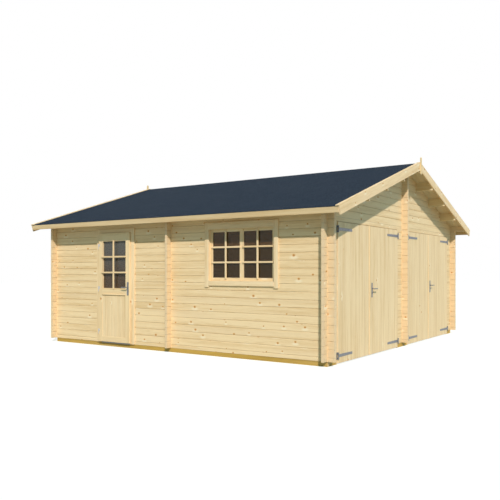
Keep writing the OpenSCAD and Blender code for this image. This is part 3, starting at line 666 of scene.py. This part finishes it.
def block(name, low, high):
    """A cube that fills the box from low to high, alone in the selection."""
    low = Vector(low)
    high = Vector(high)
    bpy.ops.object.select_all(action="DESELECT")
    bpy.ops.mesh.primitive_cube_add(size=1.0, location=(low + high) / 2)
    piece = bpy.context.object
    piece.name = name
    piece.data.name = name
    piece.scale = high - low
    bpy.ops.object.transform_apply(location=True, rotation=False, scale=True)
    return piece


def select_edges(piece, wanted, axis=None):
    """Enter edit mode with the edges selected whose ends both pass the test. Where an axis is given, only
    the edges along it."""
    bpy.ops.object.mode_set(mode="EDIT")
    bpy.ops.mesh.select_mode(type="EDGE")
    bpy.ops.mesh.select_all(action="DESELECT")
    bpy.ops.object.mode_set(mode="OBJECT")
    mesh = piece.data
    for edge in mesh.edges:
        start, end = (mesh.vertices[i].co for i in edge.vertices)
        turned = axis is not None and abs((end - start).normalized()[axis]) < ON_AXIS
        edge.select = wanted(start) and wanted(end) and not turned
    bpy.ops.object.mode_set(mode="EDIT")


def ease(piece, wanted, size, axis=None, segments=1):
    """Bevel the edges that lie wholly where the test holds."""
    select_edges(piece, wanted, axis)
    bpy.ops.mesh.bevel(offset=size, segments=segments, affect="EDGES")
    bpy.ops.object.mode_set(mode="OBJECT")


def slide(piece, wanted, offset):
    """Move the edges that lie wholly where the test holds, so that a block leans."""
    select_edges(piece, wanted)
    bpy.ops.transform.translate(value=offset)
    bpy.ops.object.mode_set(mode="OBJECT")


def row_of(piece, count, step):
    """Repeat the piece count times, each copy moved on by step."""
    array = piece.modifiers.new("row", "ARRAY")
    array.count = count
    array.use_relative_offset = False
    array.use_constant_offset = True
    array.constant_offset_displace = step
    bpy.ops.object.modifier_apply(modifier=array.name)


def join(pieces, name):
    bpy.ops.object.select_all(action="DESELECT")
    for piece in pieces:
        piece.select_set(True)
    bpy.context.view_layer.objects.active = pieces[0]
    if len(pieces) > 1:
        bpy.ops.object.join()
    pieces[0].name = name
    pieces[0].data.name = name
    return pieces[0]


def install(piece, body, slot, material, *stands_for):
    piece.data.materials.clear()
    piece.data.materials.append(material)
    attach(piece, body)
    if stands_for:
        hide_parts(*stands_for)
    print(piece.name, "has", len(piece.data.polygons), "faces and rides on", body)


print("blocks can be made, eased, repeated and joined")

# %% [markdown]
# ## Joinery pine
# In a door, boards lie every way in one mesh. `mark_grain` writes the grain's direction and a board number
# on the faces of each board before they are joined, and the joinery recipe reads both. A board draws its
# tone and its knots from its number.

# %% Joinery pine
EASE = 0.002
BOARD_EARLY = (0.890, 0.685, 0.400, 1.0)
ROOF_EARLY = (0.700, 0.550, 0.310, 1.0)


def mark_grain(piece, grain, number):
    """Write the grain's direction and a board number, given by the face's centre, on every face."""
    mesh = piece.data
    directions = mesh.attributes.new("grain", "FLOAT_VECTOR", "FACE")
    directions.data.foreach_set("vector", [share for face in mesh.polygons for share in grain])
    numbers = mesh.attributes.new("board", "FLOAT", "FACE")
    numbers.data.foreach_set("value", [number(face.center) for face in mesh.polygons])


def eased_block(name, low, high, grain, number, size=EASE):
    piece = block(name, low, high)
    ease(piece, lambda point: True, size)
    mark_grain(piece, grain, lambda centre: number)
    return piece


def joinery_finish(name, early, knots, spread):
    finish = new_finish(name)
    grain = finish.node("ShaderNodeAttribute", {"attribute_name": "grain"}, None, "Vector")
    board = finish.node("ShaderNodeAttribute", {"attribute_name": "board"}, None, "Fac")
    return pine(finish, grain, board, TRIM_W, early, knots=knots, spread=spread)


board_pine = joinery_finish("board_pine", BOARD_EARLY, knots=0.025, spread=0.10)
roof_pine = joinery_finish("roof_board_pine", ROOF_EARLY, knots=0.3, spread=0.22)
print("made", board_pine.name, "and", roof_pine.name)

# %% [markdown]
# ## Garage leaves
# A boarded leaf is a row of upright boards with eased edges, nailed to a frame with a brace. One board is
# modelled and repeated, which gives real grooves that hold up close, and the frame behind it is laid as the
# carpenter would.

# %% Garage leaves
LEAF_BOARDS = 12
BOARD_T = 0.020
GROOVE = 0.0022
RAIL_W = 0.110
STRIP_W = 0.054
LEAF_NUMBERS = 100.0
STILE_NUMBER = 20
RAIL_NUMBER = 30
BRACE_NUMBER = 40
STRIP_NUMBER = 50
leaf_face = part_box("right_bay_right_leaf")[1].x


def leaf_boards(name, low, high, first_number):
    board_w = (high.y - low.y) / LEAF_BOARDS
    boards = block(name, (leaf_face - BOARD_T, low.y, low.z), (leaf_face, low.y + board_w, high.z))
    ease(boards, lambda point: point.x > leaf_face - EASE, GROOVE, axis=2)
    row_of(boards, LEAF_BOARDS, (0, board_w, 0))
    mark_grain(boards, ALONG_Z, lambda centre: first_number + math.floor((centre.y - low.y) / board_w))
    return boards


def leaf_brace(low, high, lean, number):
    """A board that slants through the field from low to high, up towards +Y where lean is 1."""
    rise = high.z - low.z - RAIL_W
    brace = block("brace", low, (high.x, high.y, low.z + RAIL_W))
    far_end = high.y if lean > 0 else low.y
    slide(brace, lambda point: abs(point.y - far_end) < EASE, (0, 0, rise))
    run = Vector((0, high.y - low.y, lean * rise)).normalized()
    mark_grain(brace, run, lambda centre: number)
    return brace


def garage_leaf(bay, hand):
    node = bay + "_bay_" + hand + "_leaf"
    low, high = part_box(node)
    back = leaf_face - BOARD_T
    first = LEAF_NUMBERS * (2 * (bay == "right") + (hand == "right"))
    left, right = low.y + RAIL_W, high.y - RAIL_W
    rails = (low.z, (low.z + high.z) / 2 - RAIL_W / 2, high.z - RAIL_W)
    parts = [leaf_boards(node + "_boards", low, high, first)]
    for edge in (low.y, right):
        corner = (back, edge + RAIL_W, high.z)
        parts.append(eased_block("stile", (low.x, edge, low.z), corner, ALONG_Z, first + STILE_NUMBER + edge))
    for foot in rails:
        corner = (back, right, foot + RAIL_W)
        parts.append(eased_block("rail", (low.x, left, foot), corner, ALONG_Y, first + RAIL_NUMBER + foot))
    lean = 1.0 if hand == "left" else -1.0
    for foot, top in ((rails[0] + RAIL_W, rails[1]), (rails[1] + RAIL_W, rails[2])):
        field = (Vector((low.x + EASE, left, foot)), Vector((back, right, top)))
        parts.append(leaf_brace(*field, lean, first + BRACE_NUMBER + foot))
    if hand == "left":
        corner = (leaf_face - EASE, high.y - STRIP_W, low.z)
        parts.append(eased_block("cover_strip", corner, high, ALONG_Z, first + STRIP_NUMBER))
    install(join(parts, node + "_boarded"), bay + "_bay_" + hand + "_door", "door_pine", board_pine, node)


for bay in ("left", "right"):
    for hand in ("left", "right"):
        garage_leaf(bay, hand)

# %% [markdown]
# ## Roof boards
# Under the eaves and the gable overhang the underside of the roof shows narrow boards that run from ridge
# to eave. Each board starts as a block at the ridge, and sliding its eave end down gives the slope with
# upright ends.

# %% Roof boards
ROOF_BOARD_W = 0.096
ROOF_GROOVE = 0.004
ROOF_NUMBER = 80.0


def roof_slope(side_name, side):
    node = side_name + "_side_roof_boards"
    low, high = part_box(node)
    count = round((high.x - low.x) / ROOF_BOARD_W)
    board_w = (high.x - low.x) / count
    drop = (high.y - low.y) * math.tan(PITCH)
    ridge_low = low.z + drop
    board = block(node + "_planks", (low.x, low.y, ridge_low), (low.x + board_w, high.y, high.z))
    ease(board, lambda point: point.z < ridge_low + EASE, ROOF_GROOVE, axis=1)
    eave = low.y if side < 0 else high.y
    slide(board, lambda point: abs(point.y - eave) < EASE, (0, 0, -drop))
    row_of(board, count, (board_w, 0, 0))
    mark_grain(board, (0, math.cos(PITCH), -side * math.sin(PITCH)),
               lambda centre: math.floor((centre.x - low.x) / board_w) + ROOF_NUMBER * side)
    install(board, "cabin", "trim_pine", roof_pine, node)


roof_slope("door", -1)
roof_slope("far", 1)

# %% [markdown]
# ## Glazing bars
# The bars are a grille laid over each pane, and their ends lap the sash. They could be cut into each other,
# but the lying bars stand a hair proud instead, which hides the crossing.

# %% Glazing bars
BAR_W = 0.028
BAR_T = 0.018
BAR_LAP = 0.018
BAR_EASE = 0.003
BAR_PROUD = 0.0005
BAR_NUMBERS = 7.0
PANE_ROWS = 3
MEETING_HALF = 0.037


def grille(name, low, high, face):
    """One upright and two lying bars over a pane whose clear opening is low to high."""
    middle = (low.x + high.x) / 2
    front = face - BAR_T
    boxes = [((middle - BAR_W / 2, front, low.z - BAR_LAP), (middle + BAR_W / 2, face, high.z + BAR_LAP))]
    for row in range(1, PANE_ROWS):
        level = low.z + (high.z - low.z) * row / PANE_ROWS
        boxes.append(((low.x - BAR_LAP, front - BAR_PROUD, level - BAR_W / 2),
                      (high.x + BAR_LAP, face, level + BAR_W / 2)))
    bars = []
    for number, corners in enumerate(boxes):
        bar = block(name + ("_lying" if number else "_upright"), *corners)
        ease(bar, lambda point: point.y < face - EASE, BAR_EASE)
        mark_grain(bar, ALONG_X if number else ALONG_Z, lambda centre: BAR_NUMBERS * number + low.x)
        bars.append(bar)
    return bars


window_glass_low, window_glass_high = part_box("window_glass")
door_glass_low, door_glass_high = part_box("side_door_glass")
left_pane = (window_glass_low, Vector((window_middle - MEETING_HALF, 0, window_glass_high.z)))
right_pane = (Vector((window_middle + MEETING_HALF, 0, window_glass_low.z)), window_glass_high)
window_bars = grille("left", *left_pane, sash_low.y) + grille("right", *right_pane, sash_low.y)
door_bars = grille("door", door_glass_low, door_glass_high, door_low.y)
install(join(window_bars, "window_bars"), "cabin", "trim_pine", board_pine)
install(join(door_bars, "side_door_bars"), "side_door", "door_pine", board_pine)

# %% [markdown]
# ## Sashes and the side door's leaf
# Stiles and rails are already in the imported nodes, so these get a finish whose mask turns the grain upright
# in the stiles and lays it along the rails.

# %% Sashes and leaf
DOOR_STILE_NUMBER = 3.0
RAILS_PER_M = 2.0
SASH_NUMBERS = 3.0


def leaf_finish(name, middle, glass_half):
    """Stiles upright beside the glass, rails lying between them."""
    finish = new_finish(name)
    axes = finish.axes()
    upright = abs(axes - middle) > glass_half
    grain = finish.combine(1.0 - upright, 0.0, upright)
    stile = math.floor(axes - middle) + DOOR_STILE_NUMBER
    rail = math.floor(axes.output("Z") * RAILS_PER_M)
    return pine(finish, grain, upright * stile + (1.0 - upright) * rail, TRIM_W, knots=0.03)


def sash_finish(name):
    """Four stiles upright: beside the panes and in the middle."""
    finish = new_finish(name)
    axes = finish.axes()
    from_middle = abs(axes - window_middle)
    outer = from_middle > (window_glass_high.x - window_middle)
    inner = from_middle < MEETING_HALF
    upright = outer + inner
    grain = finish.combine(1.0 - upright, 0.0, upright)
    return pine(finish, grain, math.floor(axes * SASH_NUMBERS), TRIM_W, knots=0.06)


door_glass_half = (door_glass_high.x - door_glass_low.x) / 2
dress("side_door_leaf", leaf_finish("door_leaf_pine", door_middle, door_glass_half))
dress("window_sashes", sash_finish("sash_pine"))
print("dressed the sashes and the side door's leaf")

# %% [markdown]
# ## Eased edges
# A planed board has no razor edge: sandpaper takes it off, and the small round catches the light. The
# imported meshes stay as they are, so live modifiers do it: one welds the loose triangles, one bevels the
# sharp edges.

# %% Eased edges
TRIM_EASE = 0.0025
WELD_REACH = 0.00005
SHARP = math.radians(40)
EASED_NODES = ("fascias", "front_bargeboards", "rear_bargeboards", "finials", "purlins", "window_frame",
               "side_door_frame", "window_sashes", "side_door_leaf")
for name in EASED_NODES:
    nodes[name].modifiers.new("weld", "WELD").merge_threshold = WELD_REACH
    soft = nodes[name].modifiers.new("eased_edges", "BEVEL")
    soft.width = TRIM_EASE
    soft.segments = 2
    soft.limit_method = "ANGLE"
    soft.angle_limit = SHARP
print("eased the edges of", len(EASED_NODES), "nodes")

# %% [markdown]
# ## The side door's panel
# The lower half of the side door is a panel of narrow boards, set back from the stiles, under a weather bar
# that throws the rain off. One board is modelled and repeated, as on the garage leaves.

# %% Door panel
PANEL_BOARDS = 6
PANEL_T = 0.003
PANEL_LOW = 0.178
PANEL_HIGH = 0.907
PANEL_RECESS = 0.008
PANEL_NUMBER = 60.0
WEATHER_H = 0.018
WEATHER_OUT = 0.015
WEATHER_EASE = 0.004
WEATHER_NUMBER = 70.0
panel_face = door_low.y + PANEL_RECESS
panel_left = door_glass_low.x
panel_w = (door_glass_high.x - panel_left) / PANEL_BOARDS
panel = block("panel", (panel_left, panel_face - PANEL_T, PANEL_LOW),
              (panel_left + panel_w, panel_face, PANEL_HIGH))
ease(panel, lambda point: point.y < panel_face - PANEL_T / 2, GROOVE, axis=2)
row_of(panel, PANEL_BOARDS, (panel_w, 0, 0))
mark_grain(panel, ALONG_Z, lambda centre: math.floor((centre.x - panel_left) / panel_w) + PANEL_NUMBER)
weather_bar = eased_block("weather_bar", (panel_left, door_low.y - WEATHER_OUT, PANEL_HIGH),
                          (door_glass_high.x, door_low.y, PANEL_HIGH + WEATHER_H), ALONG_X, WEATHER_NUMBER,
                          WEATHER_EASE)
install(join([panel, weather_bar], "side_door_panel_boards"), "side_door", "door_pine", board_pine)

# %% [markdown]
# ## Handles
# Each handle is a long plate with a lever over a lock barrel. The plate is a block with round corners, the
# lever a cylinder with eased ends, and the whole is built facing the front, then turned to its door.

# %% Handles
PLATE_H = 0.230
PLATE_W = 0.040
PLATE_T = 0.005
PLATE_ROUND = 0.0128
LEVER_UP = 0.023
LEVER_OUT = 0.048
LEVER_LEN = 0.116
LEVER_R = 0.008
LEVER_TAIL = 0.0096
LEVER_RIM = 0.004
SPINDLE_R = 0.0072
ROSE_R = 0.013
ROSE_OUT = 0.009
BARREL_DOWN = 0.045
BARREL_R = 0.009
BARREL_OUT = 0.012
SUNK = 0.001
RIM = 0.002
ROD_SIDES = 24
SMOOTH = math.radians(35)


def rod(name, radius, start, end, rim):
    """A round bar between two points, with both rims eased."""
    start = Vector(start)
    run = Vector(end) - start
    bpy.ops.object.select_all(action="DESELECT")
    bpy.ops.mesh.primitive_cylinder_add(vertices=ROD_SIDES, radius=radius, depth=run.length,
                                        location=start + run / 2,
                                        rotation=run.to_track_quat("Z", "Y").to_euler())
    piece = bpy.context.object
    piece.name = name
    ease(piece, lambda point: point.z > 0, rim, segments=3)
    ease(piece, lambda point: point.z < 0, rim, segments=3)
    bpy.ops.object.transform_apply(location=True, rotation=True, scale=True)
    return piece


def handle(name, body, node, place, turn, towards):
    """A lever set with the middle of its back at place. The lever points to +X where towards is 1."""
    plate = block("plate", (-PLATE_W / 2, -PLATE_T, -PLATE_H / 2), (PLATE_W / 2, 0, PLATE_H / 2))
    ease(plate, lambda point: True, PLATE_ROUND, axis=1, segments=5)
    face = -PLATE_T
    out = face - LEVER_OUT
    tail = -towards * LEVER_TAIL
    tip = towards * (LEVER_LEN - LEVER_TAIL)
    barrel_z = -BARREL_DOWN
    parts = [plate,
             rod("rose", ROSE_R, (0, face + SUNK, LEVER_UP), (0, face - ROSE_OUT, LEVER_UP), RIM),
             rod("spindle", SPINDLE_R, (0, face, LEVER_UP), (0, out, LEVER_UP), RIM),
             rod("lever", LEVER_R, (tail, out, LEVER_UP), (tip, out, LEVER_UP), LEVER_RIM),
             rod("barrel", BARREL_R, (0, face + SUNK, barrel_z), (0, face - BARREL_OUT, barrel_z), RIM)]
    piece = join(parts, name)
    bpy.ops.object.shade_smooth_by_angle(angle=SMOOTH)
    piece.rotation_euler = (0, 0, turn)
    piece.location = place
    bpy.ops.object.transform_apply(location=True, rotation=True, scale=True)
    install(piece, body, "ironwork", iron, node)


grip_low, grip_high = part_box("side_door_handle")
place = (grip_high.x - PLATE_W / 2, grip_high.y, (grip_low.z + grip_high.z) / 2)
handle("side_door_lever_set", "side_door", "side_door_handle", place, 0.0, -1.0)
for bay in ("left", "right"):
    grip_low, grip_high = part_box(bay + "_bay_handle")
    place = (grip_low.x, grip_low.y + PLATE_W / 2, (grip_low.z + grip_high.z) / 2)
    handle(bay + "_bay_lever_set", bay + "_bay_right_door", bay + "_bay_handle", place, math.pi / 2, 1.0)

# %% [markdown]
# ## Bolts
# Strap hinges are held by round-headed bolts. One head is half a ball, cut from a small sphere and
# flattened, and each strap and plate gets its own, joined to one piece for each door and one for all the
# plates.

# %% Bolts
BOLT_R = 0.0085
BOLT_RISE = 0.0045
BOLT_CUT = 0.0001
IRON_T = 0.0042
# places along a strap, as shares of its length
STRAP_BOLTS = (0.10, 0.30, 0.52, 0.74, 0.93)
STRAP_MIDDLE = 0.022
PLATE_BOLT_OUT = 0.0205
PLATE_BOLT_Z = 0.036


def bolt_head(place):
    """Half a ball on a face that looks to +X."""
    bpy.ops.object.select_all(action="DESELECT")
    bpy.ops.mesh.primitive_uv_sphere_add(segments=12, ring_count=8, radius=BOLT_R)
    head = bpy.context.object
    bpy.ops.object.mode_set(mode="EDIT")
    bpy.ops.mesh.select_all(action="SELECT")
    bpy.ops.mesh.bisect(plane_co=(0, 0, BOLT_CUT), plane_no=ALONG_Z, clear_inner=True, use_fill=True)
    bpy.ops.object.mode_set(mode="OBJECT")
    head.scale = (1, 1, BOLT_RISE / BOLT_R)
    head.rotation_euler = Vector(ALONG_X).to_track_quat("Z", "Y").to_euler()
    head.location = place
    bpy.ops.object.transform_apply(location=True, rotation=True, scale=True)
    return head


plate_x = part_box("garage_hinge_plates")[0].x + IRON_T
strap_x = leaf_face + IRON_T
plate_heads = []
for bay in ("left", "right"):
    for hand in ("left", "right"):
        door = bay + "_bay_" + hand
        strap_low, strap_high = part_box(door + "_straps")
        leaf_low, leaf_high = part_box(door + "_leaf")
        root, tip = (leaf_low.y, strap_high.y) if hand == "left" else (leaf_high.y, strap_low.y)
        outside = root - PLATE_BOLT_OUT if hand == "left" else root + PLATE_BOLT_OUT
        heads = []
        for level in (strap_low.z + STRAP_MIDDLE, strap_high.z - STRAP_MIDDLE):
            for share in STRAP_BOLTS:
                heads.append(bolt_head((strap_x, root + (tip - root) * share, level)))
            for rise in (-PLATE_BOLT_Z, PLATE_BOLT_Z):
                plate_heads.append(bolt_head((plate_x, outside, level + rise)))
        install(join(heads, door + "_strap_bolts"), door + "_door", "ironwork", iron)
install(join(plate_heads, "hinge_plate_bolts"), "cabin", "ironwork", iron)
